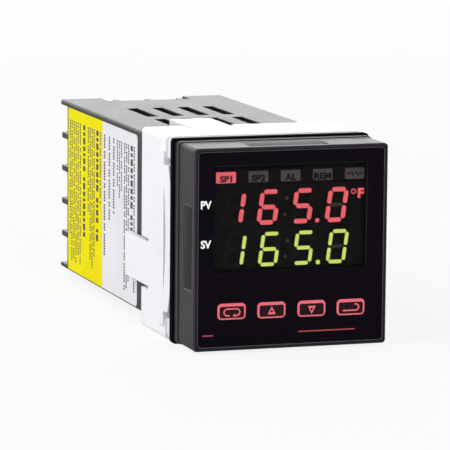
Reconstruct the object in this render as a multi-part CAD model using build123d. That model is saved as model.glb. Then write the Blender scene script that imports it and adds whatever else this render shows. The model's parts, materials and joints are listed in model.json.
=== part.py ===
from build123d import *
import os

# Sizes are in millimetres. The front faces -Y and +Z is up. The origin is the middle of the panel
# cut-out, in the plane where the gasket meets the face of the panel.

# Case sleeve and its flange
case_size = 44.8              # across the square sleeve, for a 45 mm cut-out
case_wall = 1.8
case_edge_radius = 0.6
case_depth = 98.6             # panel face to the end of the side walls
flange_thickness = 2.9
flange_overhang = 1.8         # beyond the sleeve, each side
front_corner_radius = 0.9

# Panel gasket
gasket_thickness = 2.2
gasket_overhang = 2.2

# Rear wall and wire compartments
rear_wall = 3.0
sill_height = 2.0             # side walls beyond the terminal floor
bay_wall = 1.25               # top and bottom walls of the compartments
fin_reach = 6.4               # fins beyond the side walls
fin_thickness = 1.4
fin_corner_radius = 1.0
terminal_rows = 5
middle_reach = 1.4            # top and bottom walls beyond the floor, in the middle
middle_fin_reach = 4.7
recess_depth = 0.4
recess_margin = 2.8           # beside the recess, to the compartments' inner walls
recess_height = 22.0

# Cooling slots, in rows through the top and the bottom
vent_columns = 4
vent_rows = 2
vent_width = 3.0
vent_length = 18.6
vent_pitch = 6.85
vent_gap = 5.8
vent_margin = 18.7            # last row to the end of the side walls

# Ratchet racks on the sleeve and pawls on the collar
tooth_pitch = 1.5
tooth_depth = 0.5
tooth_count = 9
rack_width = 8.8
rack_start = 20.5
pawl_width = 10.8
pawl_slit = 0.9
pawl_slit_length = 5.6
pawl_reach = 14.0             # its lifting end beyond the collar
pawl_tooth_reach = 6.0        # its tooth beyond the collar
pawl_edge_radius = 0.5
pawl_offset_flat = 7.9        # top and bottom pawls, from the middle
pawl_offset_side = 8.5        # left and right pawls, from the middle
tooth_clearance = 0.22

# Mounting collar
collar_front = 2.2
collar_length = 21.6
collar_overhang = 2.05        # beyond the sleeve, each side
collar_wall = 1.5
collar_clearance = 0.3
collar_lip = 3.3              # thick front ring
collar_step = 0.5
collar_corner_radius = 1.0
runner_width = 1.6
pad_front = 3.9
pad_length = 4.5
pad_half = 21.0
pad_raise = 0.6
spring_half = 17.7            # half the length of a bow spring
spring_root = 1.9             # its thickness at the ends
spring_bow = 1.9              # its rise towards the panel
spring_slit_half = 13.0
spring_slit = 0.8
spring_slant = 1.1
spring_notch = 1.6

# Bezel
bezel_overhang = 1.6          # beyond the sleeve, each side
bezel_depth = 12.0
bezel_gap = 0.1
bezel_rim = 1.0               # frame round the front film
bezel_front_wall = 1.8
bezel_outer_wall = 2.0
bezel_edge_radius = 0.45
skirt_wall = 1.0
skirt_clearance = 0.2
skirt_reach = 6.0             # past the panel face, inside the sleeve
channel_floor = 1.6
grip_half = 10.0
grip_depth = 1.2
grip_front = 1.8              # from the front face
grip_length = 7.2
groove_at = 9.4               # fine groove, from the front face
groove_width = 0.5
groove_depth = 0.35

# Front film, window and inner seal
film_thickness = 0.3
film_clearance = 0.05
film_corner_radius = 0.8
window_side = 3.75            # film beside the window, each side
window_drop = 3.05            # film above it
window_foot = 17.65           # film below it
window_border = 0.4           # part of the pane that lies behind the film
seal_thickness = 2.0
seal_clearance = 0.1

# Display stack
board_thickness = 1.6
display_depth = 6.0
display_gap = 0.2
module_margin = 0.9           # beside the digit modules, inside the skirt
module_foot = 0.3             # lower module above the lower edge of the window
indicator_drop = 3.15         # middle of the indicators below the top of the window
indicator_height = 3.5
indicator_count = 5
indicator_edge = 3.2          # middle of the last tile from the end of the bar
indicator_shift = 0.35
tile_space = 3.0              # between neighbouring tiles
tile_height = 2.8
tile_raise = 0.15
digit_count = 4
digit_edge = 1.5              # room at both ends of the row of digits
digit_space = 3.4             # between neighbouring digits
digit_margin = 0.7            # above and below them on the module
digit_drop = 0.45
digit_lean = 0.142            # sideways shift per height
red_shift = -0.8              # middle of the red digits from the middle of the module
green_shift = -0.5
segment_width = 1.15
segment_gap = 0.2
point_radius = 0.55

# Keys and key switches
key_names = ["cycle", "up", "down", "enter"]
switch_margin = 1.55          # beside the outer switches, inside the skirt
key_height_up = 8.25          # key middles above the lower edge of the film
key_space = 3.5               # between neighbouring keys
key_height = 3.7
key_corner_radius = 0.7
key_clearance = 0.12
key_lip = 0.5
key_lip_thickness = 0.8
key_travel = 0.3
post_radius = 1.5
switch_size = 6.0
switch_height = 3.4
stem_radius = 1.7
stem_reach = 0.9
stem_sink = 0.7
stem_clearance = 0.08

# Boards behind the display, their guides, headers and screws
board_inset = 6.3             # side boards' middles inside the bore
board_clearance = 0.4
board_joint_gap = 0.1
guide_rib = 1.0
guide_height = 1.2
guide_clearance = 0.25
guide_front = 10.0
header_size = 2.5
header_clearance = 0.5        # below the output board
header_foot = 6.4             # above the lower wall of the skirt
header_pin_count = 10
pin_size = 0.64
pin_reach = 1.0
board_screw_radius = 1.2
board_screw_length = 6.4
board_screw_head = 2.1
board_screw_head_height = 1.3
board_screw_margin = 1.9      # between their heads and the headers
board_screw_drop = 3.5        # below the lower edge of the window
boss_radius = 2.3

# Contacts, clamps and screws of the wire terminals
contact_thickness = 0.8
contact_margin = 0.3
leaf_thickness = 0.4
leaf_gap = 0.1
leaf_width = 3.4
leaf_length = 9.0
throat_depth = 1.6
slot_clearance = 0.05
clamp_thickness = 0.9
clamp_margin = 0.7
screw_radius = 1.5
screw_length = 3.7
screw_head_radius = 2.3
screw_head_height = 1.9
screw_slot_width = 0.8
screw_slot_depth = 0.9
screw_clearance = 0.1
pocket_clearance = 0.2
screw_web = 0.7

# Components on the boards
core_length = 20.0
core_width = 17.0
core_room = 17.0              # across the boards, beside the stack of the core
core_leg = 5.6
core_window = 3.4
core_yoke = 3.0
bobbin_wall = 0.5
bobbin_flange = 0.8
bobbin_overhang = 3.4
bobbin_clearance = 0.1
bobbin_feet = 0.8
coil_inset = 0.3
transformer_rear = 33.7       # its middle to the rear end of the boards
transformer_z = -6.0
relay_count = 2
relay_length = 20.0
relay_bottom = 5.9            # above the middle of the case
relay_gap = 3.2
relay_edge = 1.5              # beside them on the output board
relay_rear = 9.7              # their rear ends to the rear end of the boards
capacitor_radius = 5.0
capacitor_room = 12.0         # across the boards, beside its length
capacitor_front = 29.2        # its middle to the front end of the boards
capacitor_z = 2.0
varistor_radius = 4.5
varistor_thickness = 3.6
varistor_stand = 1.5
varistor_rear = 11.7          # its middle to the rear end of the boards
varistor_z = -12.0
chip_size = 14.0
chip_height = 2.4
chip_lead_count = 9
chip_front = 43.2             # its middle to the front end of the boards
chip_z = -3.0
memory_length = 9.6
memory_width = 6.4
memory_height = 3.0
memory_lead_count = 4
memory_rear = 25.7            # its middle to the rear end of the boards
memory_z = -8.0
lead_width = 0.5
lead_reach = 1.1
lead_thickness = 0.25
crystal_length = 10.2
crystal_width = 3.8
crystal_height = 3.5
crystal_base = 0.4
crystal_front = 29.2          # its middle to the front end of the boards
crystal_z = -6.0

# Side labels
label_thickness = 0.1
label_foot = 0.6              # above the lower edge of the wall
label_drop = 1.3              # below the upper edge of the wall
label_rear = 1.2              # yellow label to the end of the side wall
label_gap = 0.1
white_label_length = 30.9
white_corner_radius = 1.4
yellow_label_length = 32.2
yellow_corner_radius = 0.4

# Places worked out from the sizes above
case_half = case_size / 2
bore_half = case_half - case_wall
flange_half = case_half + flange_overhang
gasket_half = case_half + gasket_overhang
bezel_half = case_half + bezel_overhang
flange_front = -gasket_thickness - flange_thickness
bezel_rear = flange_front - bezel_gap
front_face = bezel_rear - bezel_depth
film_rear = front_face + film_thickness
front_wall_rear = film_rear + bezel_front_wall
film_half = bezel_half - bezel_rim - film_clearance
skirt_half = bore_half - skirt_clearance
cavity_half = skirt_half - skirt_wall
channel_half = bezel_half - bezel_outer_wall
window_top = film_half - window_drop
window_bottom = -film_half + window_foot
window_width = 2 * (film_half - window_side)
window_height = window_top - window_bottom
window_z = (window_top + window_bottom) / 2
display_face = front_wall_rear + display_gap
display_rear = display_face + display_depth
display_board_rear = display_rear + board_thickness
indicator_z = window_top - indicator_drop
indicator_width = 2 * (cavity_half - display_gap)
indicator_pitch = (indicator_width - 2 * indicator_edge) / (indicator_count - 1)
tile_width = indicator_pitch - tile_space
modules_top = indicator_z - indicator_height / 2 - display_gap
modules_bottom = window_bottom + module_foot
module_width = 2 * (cavity_half - module_margin)
module_height = (modules_top - modules_bottom - display_gap) / 2
upper_z = modules_top - module_height / 2
lower_z = modules_bottom + module_height / 2
digit_pitch = (module_width - 2 * digit_edge) / digit_count
digit_width = digit_pitch - digit_space
digit_height = module_height - 2 * digit_margin
key_z = -film_half + key_height_up
key_pitch = 2 * (cavity_half - switch_margin - switch_size / 2) / (len(key_names) - 1)
key_width = key_pitch - key_space
switch_face = display_rear - switch_height
terminal_floor = case_depth - sill_height
wall_front = terminal_floor - rear_wall
fin_tips = case_depth + fin_reach
middle_edge = terminal_floor + middle_reach
middle_tips = terminal_floor + middle_fin_reach
vent_rear = case_depth - vent_margin
bay_half = case_half - bay_wall
terminal_pitch = (2 * bay_half + fin_thickness) / terminal_rows
board_x = bore_half - board_inset
board_face = board_x - board_thickness / 2
fork_half = board_thickness / 2 + leaf_gap + leaf_thickness
divider_outer = board_x - fork_half - contact_margin
divider_inner = divider_outer - fin_thickness
recess_width = 2 * (divider_inner - recess_margin)
pocket_radius = screw_radius + pocket_clearance
screw_x = board_x + fork_half + screw_web + pocket_radius
screw_seat = terminal_floor + contact_thickness + clamp_thickness
contact_half = (terminal_pitch - fin_thickness) / 2 - contact_margin
boards_front = display_board_rear + board_joint_gap
boards_rear = wall_front - throat_depth - contact_margin
output_half = board_face - board_clearance
header_top = board_face - header_clearance
header_length = header_top + cavity_half - header_foot
header_z = header_top - header_length / 2
board_screw_spacing = 2 * (board_face - header_size - board_screw_head - board_screw_margin)
board_screw_z = window_bottom - board_screw_drop
core_stack = 2 * board_face - core_room
transformer_y = boards_rear - transformer_rear
relay_width = output_half - relay_edge - relay_gap / 2
relay_height = board_face - relay_bottom
relay_spacing = relay_width + relay_gap
relay_y = boards_rear - relay_rear - relay_length / 2
capacitor_length = 2 * board_face - capacitor_room
capacitor_y = boards_front + capacitor_front
varistor_y = boards_rear - varistor_rear
chip_y = boards_front + chip_front
memory_y = boards_rear - memory_rear
crystal_y = boards_front + crystal_front
label_low = case_half - label_foot
label_high = case_half - label_drop
yellow_label_front = case_depth - label_rear - yellow_label_length
white_label_front = yellow_label_front - label_gap - white_label_length
collar_half = case_half + collar_overhang
collar_inner = collar_half - collar_wall
runner_half = case_half + collar_clearance
collar_rear = collar_front + collar_length
pawl_rear = collar_rear + pawl_reach


# Solids from an outline and the stretch that it runs along
def slab(outline, y_front, y_rear):
    # outline seen from the front, X across and Z up
    plane = Plane(origin=(0, y_rear, 0), x_dir=(1, 0, 0), z_dir=(0, -1, 0))
    return extrude(plane * outline, amount=y_rear - y_front)


def side_bar(outline, x_low, x_high):
    # outline seen from the right, Y across and Z up
    plane = Plane(origin=(x_low, 0, 0), x_dir=(0, 1, 0), z_dir=(1, 0, 0))
    return extrude(plane * outline, amount=x_high - x_low)


def plan_bar(outline, z_low, z_high):
    # outline seen from above, X across and Y up
    return extrude(Pos(0, 0, z_low) * outline, amount=z_high - z_low)


def rectangle(u_low, u_high, v_low, v_high):
    return Pos((u_low + u_high) / 2, (v_low + v_high) / 2) * Rectangle(u_high - u_low, v_high - v_low)


def shape(*points):
    return make_face(Polyline(*points, close=True))


def square(half, radius):
    return RectangleRounded(2 * half, 2 * half, radius)


def quarter_turns(solid, turns):
    # turned about the middle axis, clockwise as seen from the front
    return Rot(0, 90 * turns, 0) * solid


def spread(count, pitch):
    return [(place - (count - 1) / 2) * pitch for place in range(count)]


# Case: sleeve, flange, rear wall, wire compartments, slots, racks and board guides
def bay_opening():
    bay = slab(square(bay_half, case_edge_radius), terminal_floor, fin_tips)
    sides = slab(rectangle(-case_half, case_half, -bay_half, bay_half), case_depth, fin_tips)
    middle = slab(rectangle(-divider_inner, divider_inner, -case_half, case_half), middle_edge, fin_tips)
    return bay + sides + middle


def side_fin(z):
    outline = shape((divider_inner, terminal_floor), (case_half, terminal_floor),
                    (case_half, fin_tips - fin_corner_radius),
                    (case_half - fin_corner_radius, fin_tips), (divider_inner, fin_tips))
    return plan_bar(outline, z - fin_thickness / 2, z + fin_thickness / 2)


def middle_fin(x):
    outline = shape((terminal_floor, divider_inner), (middle_tips, divider_inner),
                    (middle_tips, case_half - fin_corner_radius),
                    (middle_tips - fin_corner_radius, case_half), (terminal_floor, case_half))
    return side_bar(outline, x - fin_thickness / 2, x + fin_thickness / 2)


def terminal_fins():
    fins = []
    for z in spread(terminal_rows - 1, terminal_pitch):
        fins.append(side_fin(z))
        fins.append(mirror(side_fin(z), Plane.YZ))
    for side in (-1, 1):
        wall = Pos(side * (divider_inner + divider_outer) / 2, 0) * Rectangle(fin_thickness, 2 * bay_half)
        fins.append(slab(wall, terminal_floor, fin_tips))
    fins += [middle_fin(x) for x in spread(3, terminal_pitch)]
    shelf = Pos(0, (divider_inner + divider_outer) / 2) * Rectangle(
        2 * terminal_pitch + fin_thickness, fin_thickness)
    fins.append(slab(shelf, terminal_floor, middle_tips))
    return fins


def terminal_places():
    # where each contact goes, as a move of one built on the right at mid height
    right = [Pos(0, 0, z) for z in spread(terminal_rows, terminal_pitch)]
    left = [Rot(0, 180, 0) * place for place in right]
    middle = [Pos(x, 0, 0) * Rot(0, -90, 0) for x in spread(2, terminal_pitch)]
    return {"right": right, "left": left, "middle": middle}


def terminal_cut():
    outline = Rectangle(2 * (fork_half + slot_clearance), leaf_width + 2 * slot_clearance)
    slot = slab(Pos(board_x, 0) * outline, wall_front, terminal_floor)
    bottom = screw_seat - screw_length - pocket_clearance
    return slot + slab(Pos(screw_x, 0) * Circle(pocket_radius), bottom, terminal_floor)


def rack(offset):
    # saw-tooth grooves across the top of the sleeve
    rack_end = rack_start + tooth_count * tooth_pitch
    points = [(rack_start, case_half + tooth_depth)]
    for tooth in range(tooth_count):
        y = rack_start + tooth * tooth_pitch
        points += [(y, case_half - tooth_depth), (y + tooth_pitch, case_half)]
    points.append((rack_end, case_half + tooth_depth))
    return side_bar(shape(*points), -offset - rack_width / 2, -offset + rack_width / 2)


def pawl_offset(turns):
    return pawl_offset_side if turns % 2 else pawl_offset_flat


def guide_ribs():
    # pairs of ribs that hold the edges of the two side boards
    away = board_thickness / 2 + guide_clearance + guide_rib / 2
    ribs = []
    for x in (-board_x - away, -board_x + away, board_x - away, board_x + away):
        for z in (-bore_half + guide_height / 2, bore_half - guide_height / 2):
            ribs.append(slab(Pos(x, z) * Rectangle(guide_rib, guide_height), guide_front, wall_front))
    return ribs


def vents():
    slots = []
    for row in range(vent_rows):
        rear = vent_rear - row * (vent_length + vent_gap)
        for x in spread(vent_columns, vent_pitch):
            slot = rectangle(x - vent_width / 2, x + vent_width / 2, rear - vent_length, rear)
            slots.append(plan_bar(slot, -case_half, case_half))
    return slots


def case():
    body = slab(square(case_half, case_edge_radius), flange_front, fin_tips)
    body += slab(square(flange_half, front_corner_radius), flange_front, -gasket_thickness)
    body -= slab(square(bore_half, case_edge_radius), flange_front, wall_front)
    body -= bay_opening()
    body += terminal_fins()
    body += guide_ribs()
    for places in terminal_places().values():
        body -= [place * terminal_cut() for place in places]
    body -= vents()
    body -= [quarter_turns(rack(pawl_offset(turns)), turns) for turns in range(4)]
    recess = RectangleRounded(recess_width, recess_height, case_edge_radius)
    recess_z = -bay_half + fin_thickness + recess_height / 2
    body -= slab(Pos(0, recess_z) * recess, terminal_floor - recess_depth, terminal_floor)
    return body


def panel_gasket():
    ring = square(gasket_half, front_corner_radius) - square(case_half, case_edge_radius)
    return slab(ring, -gasket_thickness, 0)


# Wire terminals: forked contact, clamp plate and screw, built on the right at mid height
def contact():
    tips = wall_front - leaf_length
    leaf_inner = fork_half - leaf_thickness
    fork = rectangle(board_x - fork_half, board_x + fork_half, tips, screw_seat - clamp_thickness)
    fork -= rectangle(board_x - leaf_inner, board_x + leaf_inner, tips, wall_front - throat_depth)
    plate = rectangle(board_x - fork_half, bay_half - contact_margin, -contact_half, contact_half)
    plate -= Pos(screw_x, 0) * Circle(screw_radius + screw_clearance)
    return plan_bar(fork, -leaf_width / 2, leaf_width / 2) + slab(
        plate, terminal_floor, screw_seat - clamp_thickness)


def clamp_plate():
    outline = rectangle(board_x - fork_half, bay_half - contact_margin,
                        -contact_half + clamp_margin, contact_half - clamp_margin)
    outline = fillet(outline.vertices(), clamp_margin)
    outline -= Pos(screw_x, 0) * Circle(screw_radius + screw_clearance)
    return slab(outline, screw_seat - clamp_thickness, screw_seat)


def terminal_screw():
    top = screw_seat + screw_head_height
    head = slab(Circle(screw_head_radius), screw_seat, top)
    head = fillet(head.edges().group_by(Axis.Y)[-1], screw_slot_width / 2)
    head -= slab(Rectangle(2 * screw_head_radius, screw_slot_width), top - screw_slot_depth, top)
    return Pos(screw_x, 0, 0) * (head + slab(Circle(screw_radius), screw_seat - screw_length, screw_seat))


# Labels on the left wall of the sleeve
def side_label(y_front, length, end, radius):
    # end 0 has its two front corners rounded, end -1 its rear ones
    outline = rectangle(y_front, y_front + length, -label_low, label_high)
    outline = fillet(outline.vertices().group_by(Axis.X)[end], radius)
    return side_bar(outline, -case_half - label_thickness, -case_half)


# Mounting collar: square ring with pads, bow springs and ratchet pawls
def bow_spring():
    # on the left; it bows towards the panel and is free of the ring in the middle
    ends = pad_front - spring_root
    outer = -collar_half - pad_raise
    bow = ThreePointArc((ends, -spring_half), (ends - spring_bow, 0), (ends, spring_half))
    back = ThreePointArc((pad_front, -spring_slit_half), (pad_front - spring_slit, 0),
                         (pad_front, spring_slit_half))
    top = Line((ends, spring_half), (pad_front, spring_half))
    top_root = Line((pad_front, spring_half), (pad_front, spring_slit_half))
    bottom = Line((ends, -spring_half), (pad_front, -spring_half))
    bottom_root = Line((pad_front, -spring_half), (pad_front, -spring_slit_half))
    blade = side_bar(make_face([bow, top, top_root, back, bottom_root, bottom]), outer, -runner_half)
    slant = shape((outer, pad_front), (outer + spring_slant, ends - spring_bow), (outer, ends - spring_bow))
    return blade - plan_bar(slant, -spring_half, spring_half)


def spring_opening():
    reach = spring_half + spring_notch
    outline = rectangle(collar_front, pad_front, -reach, reach)
    return side_bar(outline, -collar_half, -runner_half)


def pawl(offset):
    # tongue of the top wall that runs on past the collar, to be lifted, with a tooth that meets the rack
    half = pawl_width / 2
    tongue = rectangle(-offset - half, -offset + half, collar_rear, pawl_rear)
    tongue = fillet(tongue.vertices().group_by(Axis.Y)[-1], pawl_edge_radius)
    tip = case_half + tooth_clearance
    tooth_rear = collar_rear + pawl_tooth_reach
    tooth = shape((tooth_rear - 2 * tooth_pitch, collar_inner), (tooth_rear - tooth_pitch, tip),
                  (tooth_rear - tooth_pitch / 2, tip), (tooth_rear, collar_inner))
    return plan_bar(tongue, collar_inner, collar_half) + side_bar(
        tooth, -offset - rack_width / 2, -offset + rack_width / 2)


def pawl_slits(offset):
    # slits beside the pawl, open at the rear edge
    slits = []
    for side in (-1, 1):
        x = -offset + side * (pawl_width + pawl_slit) / 2
        slit = rectangle(x - pawl_slit / 2, x + pawl_slit / 2, collar_rear - pawl_slit_length, collar_rear)
        slits.append(plan_bar(slit, collar_inner, collar_half))
    return slits


def runners():
    # inside the top wall, near its corners, to keep the collar square on the sleeve
    bars = []
    for x in (-runner_half + runner_width, runner_half - runner_width):
        runner = rectangle(x - runner_width / 2, x + runner_width / 2, runner_half, collar_inner)
        bars.append(slab(runner, collar_front + collar_lip, collar_rear))
    return bars


def mounting_collar():
    body = slab(square(collar_half, collar_corner_radius), pad_front, collar_rear)
    body += slab(square(collar_half - collar_step, collar_corner_radius), collar_front, pad_front)
    body -= slab(square(runner_half, case_edge_radius), collar_front, collar_rear)
    body -= slab(square(collar_inner, collar_corner_radius), collar_front + collar_lip, collar_rear)
    pad = slab(rectangle(-pad_half, pad_half, collar_inner, collar_half + pad_raise),
               pad_front, pad_front + pad_length)
    for turns in range(4):
        offset = pawl_offset(turns)
        body -= [quarter_turns(slit, turns) for slit in pawl_slits(offset)]
        body += quarter_turns(pawl(offset), turns)
        body += [quarter_turns(runner, turns) for runner in runners()]
    for turns in (1, 3):
        body += quarter_turns(pad, turns)
    for turns in (0, 2):
        body -= quarter_turns(spring_opening(), turns)
        body += quarter_turns(bow_spring(), turns)
    return body


# Bezel: front frame with finger grips, film recess, window opening, key holes and a skirt
def finger_grip():
    # hollow in the top side, deepest just behind the front rim
    front = front_face + grip_front
    rear = front + grip_length
    deep = bezel_half - grip_depth
    floor = ThreePointArc((front, deep), ((front + rear) / 2, bezel_half - grip_depth / 3), (rear, bezel_half))
    lid = Line((rear, bezel_half), (front, bezel_half))
    wall = Line((front, bezel_half), (front, deep))
    return side_bar(make_face([floor, lid, wall]), -grip_half, grip_half)


def key_places():
    return dict(zip(key_names, spread(len(key_names), key_pitch)))


def board_screw_places():
    return spread(2, board_screw_spacing)


def window_outline(border):
    return Pos(0, window_z) * Rectangle(window_width + 2 * border, window_height + 2 * border)


def bezel():
    body = slab(square(bezel_half, front_corner_radius), front_face, bezel_rear)
    body = fillet(body.edges().group_by(Axis.Y)[0], bezel_edge_radius)
    body += slab(square(skirt_half, case_edge_radius), bezel_rear, skirt_reach)
    channel = square(channel_half, front_corner_radius) - square(skirt_half, case_edge_radius)
    body -= slab(channel, front_wall_rear + channel_floor, bezel_rear)
    body -= slab(square(cavity_half, case_edge_radius), front_wall_rear, skirt_reach)
    body -= slab(square(film_half + film_clearance, film_corner_radius), front_face, film_rear)
    body -= slab(window_outline(window_border + film_clearance), film_rear, front_wall_rear)
    hole = RectangleRounded(key_width + 2 * key_clearance, key_height + 2 * key_clearance,
                            key_corner_radius + key_clearance)
    body -= [slab(Pos(x, key_z) * hole, film_rear, front_wall_rear) for x in key_places().values()]
    boss = Circle(boss_radius) - Circle(board_screw_radius + screw_clearance)
    body += [slab(Pos(x, board_screw_z) * boss, front_wall_rear, display_rear) for x in board_screw_places()]
    groove = square(bezel_half, front_corner_radius) - square(bezel_half - groove_depth, front_corner_radius)
    body -= slab(groove, front_face + groove_at, front_face + groove_at + groove_width)
    body -= [quarter_turns(finger_grip(), turns) for turns in range(4)]
    return body


def inner_seal():
    ring = square(channel_half - seal_clearance, front_corner_radius)
    ring -= square(skirt_half + seal_clearance, case_edge_radius)
    return slab(ring, flange_front - seal_thickness, flange_front)


def front_film():
    film = square(film_half, film_corner_radius) - window_outline(film_clearance)
    return slab(film, front_face, film_rear)


def display_window():
    # pane flush with the film, with a border behind the film
    return slab(window_outline(0), front_face, film_rear) + slab(
        window_outline(window_border), film_rear, front_wall_rear)


# Display board, digit modules, indicator bar, keys and key switches
def display_board():
    board = square(cavity_half - display_gap, case_edge_radius)
    for x in board_screw_places():
        board -= Pos(x, board_screw_z) * Circle(board_screw_radius + screw_clearance)
    return slab(board, display_rear, display_board_rear)


def segment(length):
    # bar with pointed ends, along local X
    half = length / 2
    tip = segment_width / 2
    return shape((-half, 0), (tip - half, tip), (half - tip, tip), (half, 0), (half - tip, -tip),
                 (tip - half, -tip))


def segments(lit):
    # the lit bars of one digit about its middle, each as an outline with its place
    across = (digit_width - segment_width) / 2
    up = (digit_height - segment_width) / 2
    flat_bar = segment(2 * across - segment_gap)
    tall_bar = Rot(0, 0, 90) * segment(up - segment_gap)
    bars = {"a": (flat_bar, 0, up), "g": (flat_bar, 0, 0), "d": (flat_bar, 0, -up)}
    bars |= {"f": (tall_bar, -across, up / 2), "b": (tall_bar, across, up / 2)}
    bars |= {"e": (tall_bar, -across, -up / 2), "c": (tall_bar, across, -up / 2)}
    return [Pos(x + digit_lean * z, z) * bar for bar, x, z in (bars[name] for name in lit)]


def digit_module(z, shift):
    # block with the raised bars of every digit and its decimal point
    module = slab(Pos(0, z) * RectangleRounded(module_width, module_height, display_gap),
                  display_face, display_rear)
    raised = []
    for x in spread(digit_count, digit_pitch):
        place = Pos(x + shift, z - digit_drop)
        raised += [place * outline for outline in segments("abcdefg")]
        point = Pos(digit_pitch / 2 - digit_lean * digit_height / 2, point_radius - digit_height / 2)
        raised.append(place * point * Circle(point_radius))
    return module + [slab(outline, display_face - tile_raise, display_face) for outline in raised]


def indicator_bar():
    bar = slab(Pos(0, indicator_z) * RectangleRounded(indicator_width, indicator_height, display_gap),
               display_face, display_rear)
    tile = Rectangle(tile_width, tile_height)
    return bar + [slab(Pos(x + indicator_shift, indicator_z) * tile, display_face - tile_raise, display_face)
                  for x in spread(indicator_count, indicator_pitch)]


def key_plunger(x):
    lip_front = front_wall_rear + film_clearance
    cap = RectangleRounded(key_width, key_height, key_corner_radius)
    lip = RectangleRounded(key_width + 2 * key_lip, key_height + 2 * key_lip, key_corner_radius + key_lip)
    body = slab(cap, film_rear, lip_front) + slab(lip, lip_front, lip_front + key_lip_thickness)
    body += slab(Circle(post_radius), lip_front, switch_face - stem_reach)
    return Pos(x, 0, key_z) * body


def switch_stem(x):
    return slab(Pos(x, key_z) * Circle(stem_radius), switch_face - stem_reach, switch_face + stem_sink)


def switch_housing(x):
    body = slab(Rectangle(switch_size, switch_size), switch_face, display_rear)
    body = chamfer(body.edges().filter_by(Axis.Y), display_gap)
    body -= slab(Circle(stem_radius + stem_clearance), switch_face, switch_face + stem_sink + 2 * key_travel)
    return Pos(x, 0, key_z) * body


def board_screw(x):
    end = display_board_rear + board_screw_head_height
    head = slab(Circle(board_screw_head), display_board_rear, end)
    head = fillet(head.edges().group_by(Axis.Y)[-1], board_screw_head_height / 3)
    cross = Rectangle(board_screw_head, board_screw_radius / 2)
    cross += Rectangle(board_screw_radius / 2, board_screw_head)
    head -= slab(cross, end - board_screw_head_height / 2, end)
    shank = slab(Circle(board_screw_radius), display_board_rear - board_screw_length, display_board_rear)
    return Pos(x, 0, board_screw_z) * (head + shank)


# Upright boards at the left and right, and the level output board between them
def side_board(side):
    skirt_end = skirt_reach + 2 * board_clearance
    narrow = cavity_half - board_clearance
    wide = bore_half - board_clearance
    outline = rectangle(boards_front, boards_rear, -narrow, narrow)
    outline += rectangle(skirt_end, boards_rear, -wide, wide)
    return side_bar(outline, side * board_x - board_thickness / 2, side * board_x + board_thickness / 2)


def output_board():
    outline = rectangle(-output_half, output_half, boards_front, boards_rear)
    return plan_bar(outline, board_face, board_face + board_thickness)


def pin_header():
    # on the rear of the display board, against the inner face of the right-hand board
    strip = Pos(board_face - header_size / 2, header_z) * Rectangle(header_size, header_length)
    body = slab(strip, display_board_rear, display_board_rear + header_size)
    body = chamfer(body.edges().group_by(Axis.Y)[-1], pin_size / 2)
    end = display_board_rear + header_size + pin_reach
    pin = Rectangle(pin_size, pin_size)
    for z in spread(header_pin_count, header_length / header_pin_count):
        body += slab(Pos(board_face - header_size / 2, header_z + z) * pin, end - 2 * pin_reach, end)
    return body


# Components, each built standing on a board's face with local Z away from the board
def on_right_board(y, z):
    return Pos(board_face, y, z) * Rot(0, -90, 0)


def on_left_board(y, z):
    return Pos(-board_face, y, z) * Rot(0, 90, 0)


def under_output_board(x, y):
    return Pos(x, y, board_face) * Rot(180, 0, 0)


def box(x_size, y_size, z_low, z_high):
    return plan_bar(Rectangle(x_size, y_size), z_low, z_high)


def chip(length, width, height, leads):
    # moulded package with a row of bent leads along both long sides
    body = box(width, length, lead_thickness, height)
    body = chamfer(body.edges().group_by(Axis.Z)[-1], lead_thickness)
    for y in spread(leads, length / leads):
        for side in (-1, 1):
            foot_x = side * (width / 2 + lead_reach / 2)
            foot = Pos(foot_x, y) * box(lead_reach, lead_width, 0, lead_thickness)
            drop_x = side * (width / 2 + lead_thickness / 2)
            drop = Pos(drop_x, y) * box(lead_thickness, lead_width, lead_thickness, height / 2)
            body += [foot, drop]
    return body


def crystal():
    can = plan_bar(SlotOverall(crystal_length, crystal_width, 90), crystal_base, crystal_height)
    can = fillet(can.edges().group_by(Axis.Z)[-1], crystal_base)
    rim = SlotOverall(crystal_length + crystal_base, crystal_width + crystal_base, 90)
    return can + plan_bar(rim, 0, crystal_base)


def capacitor():
    # turned profile: sleeve with a rolled groove near the foot and a domed edge
    r = capacitor_radius
    groove = r / 8
    side = Polyline((0, 0), (r, 0), (r, 2 * groove))
    roll = ThreePointArc((r, 2 * groove), (r - groove, 3 * groove), (r, 4 * groove))
    wall = Polyline((r, 4 * groove), (r, capacitor_length - groove), (r - groove, capacitor_length),
                    (0, capacitor_length), (0, 0))
    return revolve(Plane.XZ * make_face([side, roll, wall]), Axis.Z)


def varistor():
    centre = varistor_stand + varistor_radius
    disc = extrude(Plane.XZ * Circle(varistor_radius), varistor_thickness / 2, both=True)
    disc = fillet(disc.edges(), varistor_thickness / 4)
    lead = plan_bar(Circle(pin_size / 2), -centre, 0)
    leads = [Pos(x, 0, 0) * lead for x in spread(2, varistor_radius)]
    return Pos(0, 0, centre) * (disc + leads)


def relay():
    body = box(relay_width, relay_length, 0, relay_height)
    body = chamfer(body.edges().group_by(Axis.Z)[-1], relay_height / 12)
    return fillet(body.edges().filter_by(Axis.Z), relay_height / 12)


def core_base():
    return bobbin_feet + bobbin_overhang


def transformer_core():
    outline = Rectangle(core_width, core_length)
    middle = (core_leg + core_window) / 2
    for x in (-middle, middle):
        outline -= Pos(x, 0) * Rectangle(core_window, core_length - 2 * core_yoke)
    return plan_bar(outline, core_base(), core_base() + core_stack)


def spool(x_half, overhang, y_half):
    # block round the middle leg of the core, about the middle of the transformer
    low = core_base() - overhang
    return box(2 * x_half, 2 * y_half, low, low + core_stack + 2 * overhang)


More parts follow.
